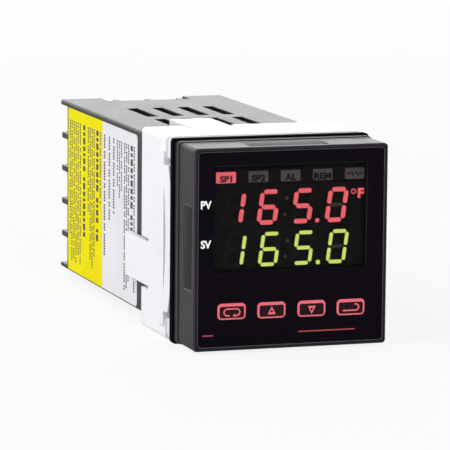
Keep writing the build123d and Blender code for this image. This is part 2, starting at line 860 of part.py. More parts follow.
def transformer_bobbin():
    length_half = core_length / 2 - core_yoke - bobbin_clearance
    flange_x = core_leg / 2 + core_window - bobbin_clearance
    leg_x = core_leg / 2 + bobbin_clearance
    body = spool(flange_x, bobbin_overhang, length_half)
    body -= spool(flange_x, bobbin_overhang, length_half - bobbin_flange)
    body += spool(leg_x + bobbin_wall, bobbin_clearance + bobbin_wall, length_half)
    body -= spool(leg_x, bobbin_clearance, length_half)
    foot = box(pin_size, pin_size, 0, bobbin_feet)
    for x in spread(2, 2 * (flange_x - pin_size)):
        for y in spread(2, 2 * length_half - bobbin_flange):
            body += Pos(x, y) * foot
    return body


def transformer_windings():
    length_half = core_length / 2 - core_yoke - bobbin_clearance - bobbin_flange
    outer_x = core_leg / 2 + core_window - bobbin_clearance - coil_inset
    coil = spool(outer_x, bobbin_overhang - coil_inset, length_half)
    coil = fillet(coil.edges().filter_by(Axis.Y), core_window / 2)
    inner_x = core_leg / 2 + bobbin_clearance + bobbin_wall
    return coil - spool(inner_x, bobbin_clearance + bobbin_wall, length_half)


# Every node, with its solid
def case_nodes():
    nodes = {"case": case(), "panel_gasket": panel_gasket(), "mounting_collar": mounting_collar()}
    nodes["white_label"] = side_label(white_label_front, white_label_length, 0, white_corner_radius)
    nodes["yellow_label"] = side_label(yellow_label_front, yellow_label_length, -1, yellow_corner_radius)
    clamps = []
    number = 0
    for name, places in terminal_places().items():
        nodes[f"contacts_{name}"] = Compound(children=[place * contact() for place in places])
        clamps += [place * clamp_plate() for place in places]
        for place in places:
            number += 1
            nodes[f"terminal_screw_{number:02d}"] = place * terminal_screw()
    nodes["clamp_plates"] = Compound(children=clamps)
    return nodes


def front_nodes():
    nodes = {"bezel": bezel(), "inner_seal": inner_seal(), "front_film": front_film()}
    nodes["display_window"] = display_window()
    nodes["display_board"] = display_board()
    nodes["red_digit_module"] = digit_module(upper_z, red_shift)
    nodes["green_digit_module"] = digit_module(lower_z, green_shift)
    nodes["indicator_bar"] = indicator_bar()
    for name, x in key_places().items():
        nodes[f"key_{name}"] = key_plunger(x)
        nodes[f"switch_stem_{name}"] = switch_stem(x)
        nodes[f"switch_{name}"] = switch_housing(x)
    for number, x in enumerate(board_screw_places(), 1):
        nodes[f"board_screw_{number}"] = board_screw(x)
    return nodes


def board_nodes():
    nodes = {"processor_board": side_board(-1), "power_board": side_board(1), "output_board": output_board()}
    nodes["power_header"] = pin_header()
    nodes["processor_header"] = mirror(pin_header(), Plane.YZ)
    processor = chip(chip_size, chip_size, chip_height, chip_lead_count)
    nodes["processor_chip"] = on_left_board(chip_y, chip_z) * processor
    memory = chip(memory_length, memory_width, memory_height, memory_lead_count)
    nodes["memory_chip"] = on_left_board(memory_y, memory_z) * memory
    nodes["crystal"] = on_left_board(crystal_y, crystal_z) * crystal()
    transformer = on_right_board(transformer_y, transformer_z)
    nodes["transformer_core"] = transformer * transformer_core()
    nodes["transformer_bobbin"] = transformer * transformer_bobbin()
    nodes["transformer_windings"] = transformer * transformer_windings()
    nodes["filter_capacitor"] = on_right_board(capacitor_y, capacitor_z) * capacitor()
    nodes["varistor"] = on_right_board(varistor_y, varistor_z) * varistor()
    for number, x in enumerate(spread(relay_count, relay_spacing), 1):
        nodes[f"relay_{number}"] = under_output_board(x, relay_y) * relay()
    return nodes


os.makedirs("parts", exist_ok=True)
for nodes in (case_nodes(), front_nodes(), board_nodes()):
    for node, solid in nodes.items():
        export_step(solid, f"parts/{node}.step")
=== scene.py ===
import json
import math
import bmesh
import bpy
import numpy as np
from mathutils import Matrix, Vector


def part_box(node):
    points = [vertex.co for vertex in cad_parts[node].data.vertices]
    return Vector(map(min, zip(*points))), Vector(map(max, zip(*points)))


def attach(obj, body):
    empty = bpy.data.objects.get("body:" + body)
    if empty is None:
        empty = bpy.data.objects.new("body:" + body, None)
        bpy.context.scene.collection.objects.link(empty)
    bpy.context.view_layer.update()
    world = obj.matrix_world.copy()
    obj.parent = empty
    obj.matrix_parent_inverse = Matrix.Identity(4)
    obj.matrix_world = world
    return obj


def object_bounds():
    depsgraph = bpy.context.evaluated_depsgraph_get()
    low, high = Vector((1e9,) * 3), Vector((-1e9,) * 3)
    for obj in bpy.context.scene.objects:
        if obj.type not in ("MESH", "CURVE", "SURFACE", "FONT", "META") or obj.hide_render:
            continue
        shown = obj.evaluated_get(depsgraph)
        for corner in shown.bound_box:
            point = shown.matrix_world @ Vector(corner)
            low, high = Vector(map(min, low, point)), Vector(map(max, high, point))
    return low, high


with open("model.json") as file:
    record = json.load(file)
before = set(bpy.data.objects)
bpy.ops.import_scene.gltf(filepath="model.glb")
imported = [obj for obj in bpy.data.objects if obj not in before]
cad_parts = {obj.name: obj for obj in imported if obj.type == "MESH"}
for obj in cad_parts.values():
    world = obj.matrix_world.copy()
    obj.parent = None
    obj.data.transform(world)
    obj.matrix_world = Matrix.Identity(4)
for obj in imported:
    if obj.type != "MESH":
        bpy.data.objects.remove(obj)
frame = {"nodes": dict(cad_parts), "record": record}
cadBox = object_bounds()
nodes = frame["nodes"]
mm = 0.001
print("frame loaded with", len(nodes), "nodes")


def tone(red, green, blue):
    # screen colour from 0 to 255 as a linear colour
    parts = []
    for value in (red, green, blue):
        share = value / 255
        parts.append(share / 12.92 if share <= 0.04045 else ((share + 0.055) / 1.055) ** 2.4)
    return (*parts, 1.0)


# Node helpers

def addNode(tree, kind, spot, **settings):
    node = tree.nodes.new(kind)
    node.location = spot
    for name, value in settings.items():
        setattr(node, name, value)
    return node


def setInputs(node, **values):
    # an underscore in a name stands for the space in the socket's name
    for name, value in values.items():
        node.inputs[name.replace("_", " ")].default_value = value
    return node


def newGroup(name, inputs, outputs):
    # empty group with its named sockets; gives its tree, its input node and its output node
    tree = bpy.data.node_groups.new(name, "ShaderNodeTree")
    kinds = {"color": "NodeSocketColor", "value": "NodeSocketFloat", "vector": "NodeSocketVector"}
    for label, kind, start in inputs:
        socket = tree.interface.new_socket(label, in_out="INPUT", socket_type=kinds[kind])
        if start is not None:
            socket.default_value = start
    for label, kind in outputs:
        tree.interface.new_socket(label, in_out="OUTPUT", socket_type=kinds[kind])
    return tree, addNode(tree, "NodeGroupInput", (-900, 0)), addNode(tree, "NodeGroupOutput", (700, 0))


def objectNoise(tree, scaleSocket, spot, detail=3.0, roughness=0.55, stretch=None):
    # noise on Object coordinates, its scale in repeats per metre
    place = addNode(tree, "ShaderNodeTexCoord", (spot[0] - 420, spot[1]))
    source = place.outputs["Object"]
    if stretch:
        mapping = addNode(tree, "ShaderNodeMapping", (spot[0] - 220, spot[1]))
        mapping.inputs["Scale"].default_value = stretch
        tree.links.new(source, mapping.inputs["Vector"])
        source = mapping.outputs["Vector"]
    noise = addNode(tree, "ShaderNodeTexNoise", spot)
    setInputs(noise, Detail=detail, Roughness=roughness)
    tree.links.new(source, noise.inputs["Vector"])
    tree.links.new(scaleSocket, noise.inputs["Scale"])
    return noise.outputs["Fac"]


def mixColors(tree, spot, share, first, second):
    mix = addNode(tree, "ShaderNodeMix", spot, data_type="RGBA")
    for socket, value in ((mix.inputs[0], share), (mix.inputs[6], first), (mix.inputs[7], second)):
        if isinstance(value, bpy.types.NodeSocket):
            tree.links.new(value, socket)
        else:
            socket.default_value = value
    return mix.outputs[2]


def spreadRange(tree, spot, value, low, high, toLow, toHigh):
    # value between low and high becomes toLow to toHigh, clamped; the last two may be sockets
    remap = addNode(tree, "ShaderNodeMapRange", spot)
    for name, amount in (("From Min", low), ("From Max", high), ("To Min", toLow), ("To Max", toHigh)):
        if isinstance(amount, bpy.types.NodeSocket):
            tree.links.new(amount, remap.inputs[name])
        else:
            remap.inputs[name].default_value = amount
    tree.links.new(value, remap.inputs["Value"])
    return remap.outputs["Result"]


# Shared effects

def buildMouldedSkin():
    # cloudy colour between two shades, fine grain for the bump, roughness that drifts with the clouds
    tree, start, end = newGroup("mouldedSkin", [
        ("Color", "color", (0.05, 0.05, 0.05, 1)), ("Shade", "color", (0.03, 0.03, 0.03, 1)),
        ("Cloud Scale", "value", 90.0), ("Grain Scale", "value", 2600.0),
        ("Roughness", "value", 0.5), ("Roughness Spread", "value", 0.1)],
        [("Color", "color"), ("Roughness", "value"), ("Height", "value"), ("Cloud", "value")])
    cloud = objectNoise(tree, start.outputs["Cloud Scale"], (-450, 250), 4.0)
    grain = objectNoise(tree, start.outputs["Grain Scale"], (-450, -200), 2.0)
    share = spreadRange(tree, (-200, 250), cloud, 0.35, 0.65, 0.0, 1.0)
    tree.links.new(mixColors(tree, (100, 300), share, start.outputs["Color"], start.outputs["Shade"]),
                   end.inputs["Color"])
    change = addNode(tree, "ShaderNodeMath", (50, 50), operation="MULTIPLY_ADD")
    tree.links.new(share, change.inputs[0])
    tree.links.new(start.outputs["Roughness Spread"], change.inputs[1])
    tree.links.new(start.outputs["Roughness"], change.inputs[2])
    tree.links.new(change.outputs[0], end.inputs["Roughness"])
    tree.links.new(grain, end.inputs["Height"])
    tree.links.new(share, end.inputs["Cloud"])
    return tree


def buildRoundedEdge():
    # normal turned over a small radius at each edge, and a mask that is 1 where it turns most
    tree, start, end = newGroup("roundedEdge", [("Radius", "value", 0.0003), ("Reach", "value", 0.12)],
                                [("Normal", "vector"), ("Edge", "value")])
    bevel = addNode(tree, "ShaderNodeBevel", (-500, 100), samples=4)
    tree.links.new(start.outputs["Radius"], bevel.inputs["Radius"])
    flat = addNode(tree, "ShaderNodeNewGeometry", (-500, -150))
    dot = addNode(tree, "ShaderNodeVectorMath", (-250, 0), operation="DOT_PRODUCT")
    tree.links.new(bevel.outputs["Normal"], dot.inputs[0])
    tree.links.new(flat.outputs["True Normal"], dot.inputs[1])
    loss = addNode(tree, "ShaderNodeMath", (-50, 0), operation="SUBTRACT")
    loss.inputs[0].default_value = 1.0
    tree.links.new(dot.outputs["Value"], loss.inputs[1])
    mask = spreadRange(tree, (150, 0), loss.outputs[0], 0.01, start.outputs["Reach"], 0.0, 1.0)
    tree.links.new(bevel.outputs["Normal"], end.inputs["Normal"])
    tree.links.new(mask, end.inputs["Edge"])
    return tree


def buildDrawnMetal():
    # long streaks along one axis for drawn or milled metal, with a faint stain between two shades
    tree, start, end = newGroup("drawnMetal", [
        ("Color", "color", (0.7, 0.7, 0.7, 1)), ("Stain", "color", (0.4, 0.35, 0.3, 1)),
        ("Streak Scale", "value", 1500.0), ("Stain Scale", "value", 400.0), ("Roughness", "value", 0.3)],
        [("Color", "color"), ("Roughness", "value"), ("Height", "value")])
    streak = objectNoise(tree, start.outputs["Streak Scale"], (-450, -150), 2.0, 0.6, (1.0, 0.12, 1.0))
    stain = objectNoise(tree, start.outputs["Stain Scale"], (-450, 200), 4.0)
    share = spreadRange(tree, (-200, 200), stain, 0.5, 0.8, 0.0, 0.5)
    tree.links.new(mixColors(tree, (100, 250), share, start.outputs["Color"], start.outputs["Stain"]),
                   end.inputs["Color"])
    rough = addNode(tree, "ShaderNodeMath", (100, 0), operation="MULTIPLY_ADD")
    tree.links.new(streak, rough.inputs[0])
    rough.inputs[1].default_value = 0.25
    tree.links.new(start.outputs["Roughness"], rough.inputs[2])
    tree.links.new(rough.outputs[0], end.inputs["Roughness"])
    tree.links.new(streak, end.inputs["Height"])
    return tree


def buildCopperTracks():
    # tracks under solder mask: blocks of straight lines that change direction from cell to cell
    tree, start, end = newGroup("copperTracks", [
        ("Mask Color", "color", (0.02, 0.16, 0.06, 1)), ("Track Color", "color", (0.05, 0.3, 0.12, 1)),
        ("Pad Color", "color", (0.75, 0.7, 0.55, 1)), ("Cell Scale", "value", 160.0)],
        [("Color", "color"), ("Metal", "value"), ("Height", "value")])
    place = addNode(tree, "ShaderNodeTexCoord", (-900, 300))
    cells = addNode(tree, "ShaderNodeTexVoronoi", (-650, 300), distance="CHEBYCHEV")
    tree.links.new(place.outputs["Object"], cells.inputs["Vector"])
    tree.links.new(start.outputs["Cell Scale"], cells.inputs["Scale"])
    lines = addNode(tree, "ShaderNodeMath", (-400, 300), operation="SINE")
    scaled = addNode(tree, "ShaderNodeMath", (-520, 180), operation="MULTIPLY")
    tree.links.new(cells.outputs["Distance"], scaled.inputs[0])
    scaled.inputs[1].default_value = 42.0
    tree.links.new(scaled.outputs[0], lines.inputs[0])
    track = spreadRange(tree, (-200, 300), lines.outputs[0], 0.1, 0.35, 0.0, 1.0)
    pad = spreadRange(tree, (-200, 0), cells.outputs["Distance"], 0.075, 0.06, 0.0, 1.0)
    base = mixColors(tree, (50, 300), track, start.outputs["Mask Color"], start.outputs["Track Color"])
    tree.links.new(mixColors(tree, (280, 200), pad, base, start.outputs["Pad Color"]), end.inputs["Color"])
    tree.links.new(pad, end.inputs["Metal"])
    tree.links.new(track, end.inputs["Height"])
    return tree


mouldedSkin = buildMouldedSkin()
roundedEdge = buildRoundedEdge()
drawnMetal = buildDrawnMetal()
copperTracks = buildCopperTracks()
print("shared node groups built")


# Materials

def newMaterial(name):
    material = bpy.data.materials.new(name)
    material.use_nodes = True
    tree = material.node_tree
    return material, tree, tree.nodes["Principled BSDF"]


def placeGroup(tree, group, spot, values):
    node = addNode(tree, "ShaderNodeGroup", spot, node_tree=group)
    for label, value in values.items():
        node.inputs[label].default_value = value
    return node


def addBump(tree, shader, heightSocket, depth, strength, normalSocket=None):
    bump = addNode(tree, "ShaderNodeBump", (-250, -350))
    setInputs(bump, Strength=strength, Distance=depth)
    tree.links.new(heightSocket, bump.inputs["Height"])
    if normalSocket:
        tree.links.new(normalSocket, bump.inputs["Normal"])
    tree.links.new(bump.outputs["Normal"], shader.inputs["Normal"])


# what a look has unless it says otherwise: scales in repeats per metre, depths in metres
mouldedDefaults = {"cloud": 90.0, "grain": 2600.0, "spread": 0.08, "specular": 0.5, "paintedHighlight": 0.0,
                   "depth": 0.00002, "strength": 0.4}
metalDefaults = {"streak": 1500.0, "stainScale": 400.0, "edge": 0.00012, "depth": 0.00001, "bump": 0.3}
litDefaults = {"grain": 3000.0, "roughness": 0.4, "spread": 0.1, "depth": 0.00001, "bump": 0.3}


def mouldedMaterial(name, look):
    # moulded or sheet plastic and rubber: cloudy shade, fine grain, edges that catch the light, with a
    # painted highlight that lightens the colour along them
    look = mouldedDefaults | look
    material, tree, shader = newMaterial(name)
    skin = placeGroup(tree, mouldedSkin, (-700, 100), {
        "Color": look["color"], "Shade": look["shade"], "Cloud Scale": look["cloud"],
        "Grain Scale": look["grain"], "Roughness": look["roughness"],
        "Roughness Spread": look["spread"]})
    color = skin.outputs["Color"]
    normal = None
    if look.get("edge"):
        rounded = placeGroup(tree, roundedEdge, (-700, -250), {"Radius": look["edge"]})
        normal = rounded.outputs["Normal"]
        # painted highlight: the edge mask, scaled by the look's amount, mixes the colour towards a lighter
        # one along every edge
        paintedHighlight = addNode(tree, "ShaderNodeMath", (-480, -150), operation="MULTIPLY")
        tree.links.new(rounded.outputs["Edge"], paintedHighlight.inputs[0])
        paintedHighlight.inputs[1].default_value = look["paintedHighlight"]
        color = mixColors(tree, (-300, 150), paintedHighlight.outputs[0], color, look.get("paintedHighlightColor", look["color"]))
    tree.links.new(color, shader.inputs["Base Color"])
    tree.links.new(skin.outputs["Roughness"], shader.inputs["Roughness"])
    shader.inputs["Specular IOR Level"].default_value = look["specular"]
    addBump(tree, shader, skin.outputs["Height"], look["depth"], look["strength"], normal)
    return material


def metalMaterial(name, look):
    # drawn metal with faint stains and edges that catch the light
    look = metalDefaults | look
    material, tree, shader = newMaterial(name)
    metal = placeGroup(tree, drawnMetal, (-700, 100), {
        "Color": look["color"], "Stain": look["stain"], "Streak Scale": look["streak"],
        "Stain Scale": look["stainScale"], "Roughness": look["roughness"]})
    rounded = placeGroup(tree, roundedEdge, (-700, -250), {"Radius": look["edge"]})
    tree.links.new(metal.outputs["Color"], shader.inputs["Base Color"])
    tree.links.new(metal.outputs["Roughness"], shader.inputs["Roughness"])
    shader.inputs["Metallic"].default_value = 1.0
    addBump(tree, shader, metal.outputs["Height"], look["depth"], look["bump"], rounded.outputs["Normal"])
    return material


def boardMaterial(name, look):
    # circuit board: copper tracks under solder mask, with bare pads
    material, tree, shader = newMaterial(name)
    tracks = placeGroup(tree, copperTracks, (-700, 100), {
        "Mask Color": look["mask"], "Track Color": look["track"], "Pad Color": look["pad"],
        "Cell Scale": look["cells"]})
    tree.links.new(tracks.outputs["Color"], shader.inputs["Base Color"])
    tree.links.new(tracks.outputs["Metal"], shader.inputs["Metallic"])
    shader.inputs["Roughness"].default_value = look["roughness"]
    addBump(tree, shader, tracks.outputs["Height"], look["depth"], look["bump"])
    return material


def litMaterial(name, look):
    # glowing bar or tile, or print given a painted glow: two shades in small clouds, with a fine grain
    look = litDefaults | look
    material, tree, shader = newMaterial(name)
    skin = placeGroup(tree, mouldedSkin, (-700, 100), {
        "Color": look["color"], "Shade": look["shade"], "Cloud Scale": look["cloud"],
        "Grain Scale": look["grain"], "Roughness": look["roughness"], "Roughness Spread": look["spread"]})
    tree.links.new(skin.outputs["Color"], shader.inputs["Base Color"])
    tree.links.new(skin.outputs["Color"], shader.inputs["Emission Color"])
    tree.links.new(skin.outputs["Roughness"], shader.inputs["Roughness"])
    shader.inputs["Emission Strength"].default_value = look["strength"]
    addBump(tree, shader, skin.outputs["Height"], look["depth"], look["bump"])
    return material


def moduleMaterial(name, look):
    # moulded face whose raised bars are lighter: the share is 1 where Y is in front of the barFront pair
    material = mouldedMaterial(name, look)
    tree = material.node_tree
    shader = tree.nodes["Principled BSDF"]
    place = addNode(tree, "ShaderNodeTexCoord", (-900, 600))
    split = addNode(tree, "ShaderNodeSeparateXYZ", (-700, 600))
    tree.links.new(place.outputs["Object"], split.inputs["Vector"])
    share = spreadRange(tree, (-500, 600), split.outputs["Y"], *look["barFront"], 1.0, 0.0)
    base = shader.inputs["Base Color"].links[0].from_socket
    tree.links.new(mixColors(tree, (-200, 500), share, base, look["bar"]), shader.inputs["Base Color"])
    return material


def windowMaterial(name, look):
    # smoked pane: a thin dark tint over what lies behind it
    material = mouldedMaterial(name, look)
    material.node_tree.nodes["Principled BSDF"].inputs["Alpha"].default_value = look["alpha"]
    return material


plasticLooks = {
    # caseBlack and bezelBlack: the lighter colour along their edges is a painted highlight
    "caseBlack": {"color": tone(22, 20, 22), "shade": tone(18, 16, 18), "roughness": 0.42, "spread": 0.02,
                  "grain": 3200.0, "depth": 0.00002, "edge": 0.00035, "paintedHighlight": 0.25,
                  "paintedHighlightColor": tone(70, 66, 68), "specular": 0.2},
    "bezelBlack": {"color": tone(36, 32, 38), "shade": tone(29, 26, 31), "roughness": 0.4, "spread": 0.03,
                   "grain": 3600.0, "depth": 0.000015, "edge": 0.0004, "paintedHighlight": 0.8,
                   "paintedHighlightColor": tone(140, 136, 142), "specular": 0.11},
    "gasketRubber": {"color": tone(10, 6, 11), "shade": tone(8, 5, 9), "roughness": 0.7,
                     "grain": 1800.0, "depth": 0.00003, "edge": 0.0004, "specular": 0.01},
    "collarWhite": {"color": tone(247, 247, 250), "shade": tone(242, 243, 247), "roughness": 0.45,
                    "cloud": 60.0, "grain": 2200.0, "depth": 0.00001, "edge": 0.00035, "specular": 0.4},
    "filmDark": {"color": tone(12, 4, 18), "shade": tone(10, 3, 15), "roughness": 0.3, "spread": 0.06,
                 "cloud": 140.0, "grain": 5200.0, "depth": 0.000006, "strength": 0.3, "specular": 0.05},
    "displayBlack": {"color": tone(25, 20, 25), "shade": tone(21, 17, 21), "roughness": 0.5,
                     "grain": 4000.0, "specular": 0.2},
    "keyWhite": {"color": tone(225, 222, 214), "shade": tone(214, 211, 203), "roughness": 0.4,
                 "edge": 0.0002},
    "partBlack": {"color": tone(38, 37, 38), "shade": tone(30, 29, 30), "roughness": 0.55, "grain": 3000.0,
                  "depth": 0.00003, "edge": 0.00012},
    "relayBlack": {"color": tone(30, 30, 34), "shade": tone(25, 25, 29), "roughness": 0.3, "edge": 0.0003},
    "bobbinCream": {"color": tone(216, 208, 184), "shade": tone(203, 194, 168), "roughness": 0.5,
                    "edge": 0.0002},
    "windingTape": {"color": tone(228, 186, 60), "shade": tone(212, 166, 44), "roughness": 0.32,
                    "cloud": 260.0, "grain": 1400.0, "depth": 0.00005, "edge": 0.0003},
    "sleeveBlue": {"color": tone(34, 44, 92), "shade": tone(28, 36, 80), "roughness": 0.28, "edge": 0.0003},
    "dippedBlue": {"color": tone(60, 104, 178), "shade": tone(50, 90, 160), "roughness": 0.3,
                   "cloud": 400.0, "grain": 900.0, "depth": 0.00008},
    "labelYellow": {"color": tone(248, 237, 14), "shade": tone(242, 228, 8), "roughness": 0.5,
                    "cloud": 50.0, "grain": 1500.0, "depth": 0.000008, "specular": 0.01},
    "labelWhite": {"color": tone(238, 236, 241), "shade": tone(232, 230, 236), "roughness": 0.45,
                   "cloud": 50.0, "grain": 1500.0, "depth": 0.000008, "specular": 0.3},
    # the nought's middle bar and the colon dots: lighter than the modules' own bars, painted spill light from
    # the lit neighbours
    "unlitBar": {"color": tone(140, 118, 116), "shade": tone(126, 106, 104), "roughness": 0.5,
                 "cloud": 600.0},
    "inkBlack": {"color": tone(40, 36, 40), "shade": tone(56, 52, 56), "roughness": 0.6, "cloud": 900.0},
    "keyField": {"color": tone(34, 6, 14), "shade": tone(28, 4, 10), "roughness": 0.3, "cloud": 300.0,
                 "specular": 0.15},
    "tileGrey": {"color": tone(210, 190, 194), "shade": tone(196, 176, 182), "roughness": 0.5,
                 "cloud": 500.0},
    "tileInk": {"color": tone(52, 36, 48), "shade": tone(44, 30, 40), "roughness": 0.5, "cloud": 500.0},
}
metalLooks = {
    "brass": {"color": tone(214, 182, 110), "stain": tone(150, 112, 60), "roughness": 0.22},
    "platedSteel": {"color": tone(206, 202, 190), "stain": tone(150, 140, 120), "roughness": 0.24},
    "crystalSteel": {"color": tone(214, 214, 214), "stain": tone(170, 170, 170), "roughness": 0.2},
    "coreSteel": {"color": tone(120, 120, 124), "stain": tone(82, 74, 66), "roughness": 0.4,
                  "streak": 2600.0},
}
litLooks = {
    "litRed": {"color": tone(255, 114, 119), "shade": tone(246, 102, 107), "cloud": 1500.0, "strength": 1.75},
    "litGreen": {"color": tone(211, 236, 112), "shade": tone(198, 224, 100), "cloud": 1500.0,
                 "strength": 2.1},
    "litTileInk": {"color": tone(96, 2, 16), "shade": tone(88, 2, 14), "cloud": 500.0, "strength": 0.1},
    # print on the film is no lamp: its emission is a painted glow on top of the print's own colour
    "inkRed": {"color": tone(229, 103, 114), "shade": tone(217, 92, 103), "cloud": 700.0, "strength": 0.35},
    "ruleRed": {"color": tone(186, 62, 68), "shade": tone(172, 54, 60), "cloud": 700.0, "strength": 0.2},
    "paintedGlowInkWhite": {"color": tone(244, 242, 244), "shade": tone(236, 234, 238), "cloud": 700.0,
                 "strength": 0.35},
}
barFront = (-0.01502, -0.01498)    # the raised bars stand in front of this pair, the module's face behind
redModuleLook = {"color": tone(29, 20, 20), "shade": tone(25, 17, 17), "roughness": 0.5, "grain": 4000.0,
                 "specular": 0.2, "bar": tone(50, 40, 38), "barFront": barFront}
greenModuleLook = {"color": tone(22, 28, 22), "shade": tone(19, 24, 19), "roughness": 0.5, "grain": 4000.0,
                   "specular": 0.2, "bar": tone(44, 49, 38), "barFront": barFront}
boardLook = {"mask": tone(18, 84, 46), "track": tone(34, 118, 66), "pad": tone(205, 196, 170),
             "cells": 170.0, "roughness": 0.34, "depth": 0.00003, "bump": 0.6}
windowLook = {"color": tone(20, 17, 20), "shade": tone(17, 14, 17), "roughness": 0.16, "spread": 0.03,
              "cloud": 120.0, "grain": 5000.0, "depth": 0.000002, "strength": 0.1, "alpha": 0.37,
              "specular": 0.08}

looks = {name: mouldedMaterial(name, look) for name, look in plasticLooks.items()}
looks |= {name: metalMaterial(name, look) for name, look in metalLooks.items()}
looks |= {name: litMaterial(name, look) for name, look in litLooks.items()}
looks["redModule"] = moduleMaterial("redModule", redModuleLook)
looks["greenModule"] = moduleMaterial("greenModule", greenModuleLook)
looks["boardGreen"] = boardMaterial("boardGreen", boardLook)
looks["smokedPane"] = windowMaterial("smokedPane", windowLook)

slotLooks = {
    "case_plastic": "caseBlack", "bezel_plastic": "bezelBlack", "gasket_rubber": "gasketRubber",
    "collar_plastic": "collarWhite", "film": "filmDark", "smoked_pane": "smokedPane",
    "display_black": "displayBlack", "key_white": "keyWhite", "switch_black": "partBlack",
    "board_green": "boardGreen", "chip_black": "partBlack", "crystal_steel": "crystalSteel",
    "core_steel": "coreSteel", "bobbin_plastic": "bobbinCream", "winding_tape": "windingTape",
    "capacitor_sleeve": "sleeveBlue", "varistor_blue": "dippedBlue", "relay_black": "relayBlack",
    "header_black": "partBlack", "brass": "brass", "clamp_steel": "platedSteel",
    "screw_steel": "platedSteel", "label_yellow": "labelYellow", "label_white": "labelWhite",
}
ownLooks = {"red_digit_module": "redModule", "green_digit_module": "greenModule"}
for part in frame["record"]["subparts"]:
    mesh = nodes[part["node"]].data
    mesh.materials.clear()
    mesh.materials.append(looks[ownLooks.get(part["node"], slotLooks[part["material_slot"]])])
print("materials built and given to the CAD nodes")


# Surfaces from numpy arrays

def makePiece(name, points, faces, material, body, slotName):
    # closed surface from an array of points and a list of faces, turned outwards, riding on a body
    mesh = bpy.data.meshes.new(name)
    mesh.from_pydata(np.asarray(points, float).tolist(), [], [list(face) for face in faces])
    tidy = bmesh.new()
    tidy.from_mesh(mesh)
    bmesh.ops.recalc_face_normals(tidy, faces=tidy.faces)
    tidy.to_mesh(mesh)
    tidy.free()
    mesh.materials.append(looks[material])
    piece = bpy.data.objects.new(name, mesh)
    bpy.context.scene.collection.objects.link(piece)
    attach(piece, body)
    return piece


def joinArrays(solids):
    # several (points, faces) as one, with the faces' numbers moved on
    points, faces, count = [], [], 0
    for somePoints, someFaces in solids:
        points.append(somePoints)
        faces += [[corner + count for corner in face] for face in someFaces]
        count += len(somePoints)
    return np.concatenate(points), faces


def gridFaces(rows, columns):
    # quads between neighbouring rows of a grid whose columns close into a ring
    row, column = np.meshgrid(np.arange(rows - 1), np.arange(columns), indexing="ij")
    beside = (column + 1) % columns
    corners = [row * columns + column, row * columns + beside,
               (row + 1) * columns + beside, (row + 1) * columns + column]
    return np.stack(corners, -1).reshape(-1, 4).tolist()


def roundedOutline(width, height, radius, count=64):
    # each point is a corner's middle plus radius times (cos t, sin t), so the sides are the jumps between
    t = (np.arange(count) + 0.5) * 2 * np.pi / count
    across = np.sign(np.cos(t)) * (width / 2 - radius) + radius * np.cos(t)
    up = np.sign(np.sin(t)) * (height / 2 - radius) + radius * np.sin(t)
    return np.stack([across, up], -1)


def onFront(outline, depth):
    # outline in millimetres across and up, set at one depth
    across, up = outline[:, 0], outline[:, 1]
    return np.stack([across, np.full(len(outline), depth), up], -1) * mm


def frontPlate(outline, front, rear):
    # flat plate with that outline between two depths
    count = len(outline)
    points = np.concatenate([onFront(outline, front), onFront(outline, rear)])
    faces = gridFaces(2, count)
    return points, faces + [list(range(count)), list(range(count, 2 * count))]


def frontRing(outer, inner, front, rear):
    # flat ring between two outlines with as many points: outer front, inner front, inner rear, outer rear
    rings = [onFront(outer, front), onFront(inner, front), onFront(inner, rear), onFront(outer, rear)]
    return np.concatenate(rings + rings[:1]), gridFaces(5, len(outer))


def strokePlate(path, width, front, rear):
    # band of one width along a path: each point moved half the width to both sides of the path's direction
    path = np.asarray(path, float)
    along = np.gradient(path, axis=0)
    along /= np.linalg.norm(along, axis=1)[:, None]
    side = np.stack([-along[:, 1], along[:, 0]], -1) * width / 2
    return frontPlate(np.concatenate([path + side, (path - side)[::-1]]), front, rear)


def domedBar(middle, angle, length, width, face, rise, count=40):
    # stadium whose rings shrink to its middle line while they rise as a quarter of an ellipse
    t = (np.arange(count) + 0.5) * 2 * np.pi / count
    share = np.array([1.0, 1.0, 0.97, 0.85, 0.6, 0.3])
    lift = np.array([0.0, 0.45, 0.7, 0.88, 0.97, 1.0]) * rise
    straight = np.sign(np.cos(t)) * (length - width) / 2
    across = straight[None, :] + share[:, None] * width / 2 * np.cos(t)[None, :]
    up = share[:, None] * width / 2 * np.sin(t)[None, :]
    x = middle[0] + across * math.cos(angle) - up * math.sin(angle)
    z = middle[1] + across * math.sin(angle) + up * math.cos(angle)
    y = face - np.repeat(lift[:, None], count, axis=1)
    points = np.stack([x, y, z], -1).reshape(-1, 3) * mm
    last = (len(share) - 1) * count
    return points, gridFaces(len(share), count) + [list(range(count)), list(range(last, last + count))]


def boxOf(name):
    # low and high corner of a CAD node's box in millimetres
    low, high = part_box(name)
    return np.array(low) / mm, np.array(high) / mm


filmFront = boxOf("front_film")[0][1]
displayFace = boxOf("red_digit_module")[0][1]
inkThickness = 0.02    # millimetres, like the lengths in the dictionaries of the pieces below
inkSink = 0.02
litRise = 0.025        # what shines stays behind the pane, whose rear is 0.05 in front of the raised bars


def inkOn(face):
    # front and rear depth of print on a face
    return face - inkThickness, face + inkSink


def litPlate(outline):
    # flat plate on the modules' face, behind the pane
    return frontPlate(outline, displayFace - litRise, displayFace + inkSink)


# Lettering, made a mesh and set flat on a face

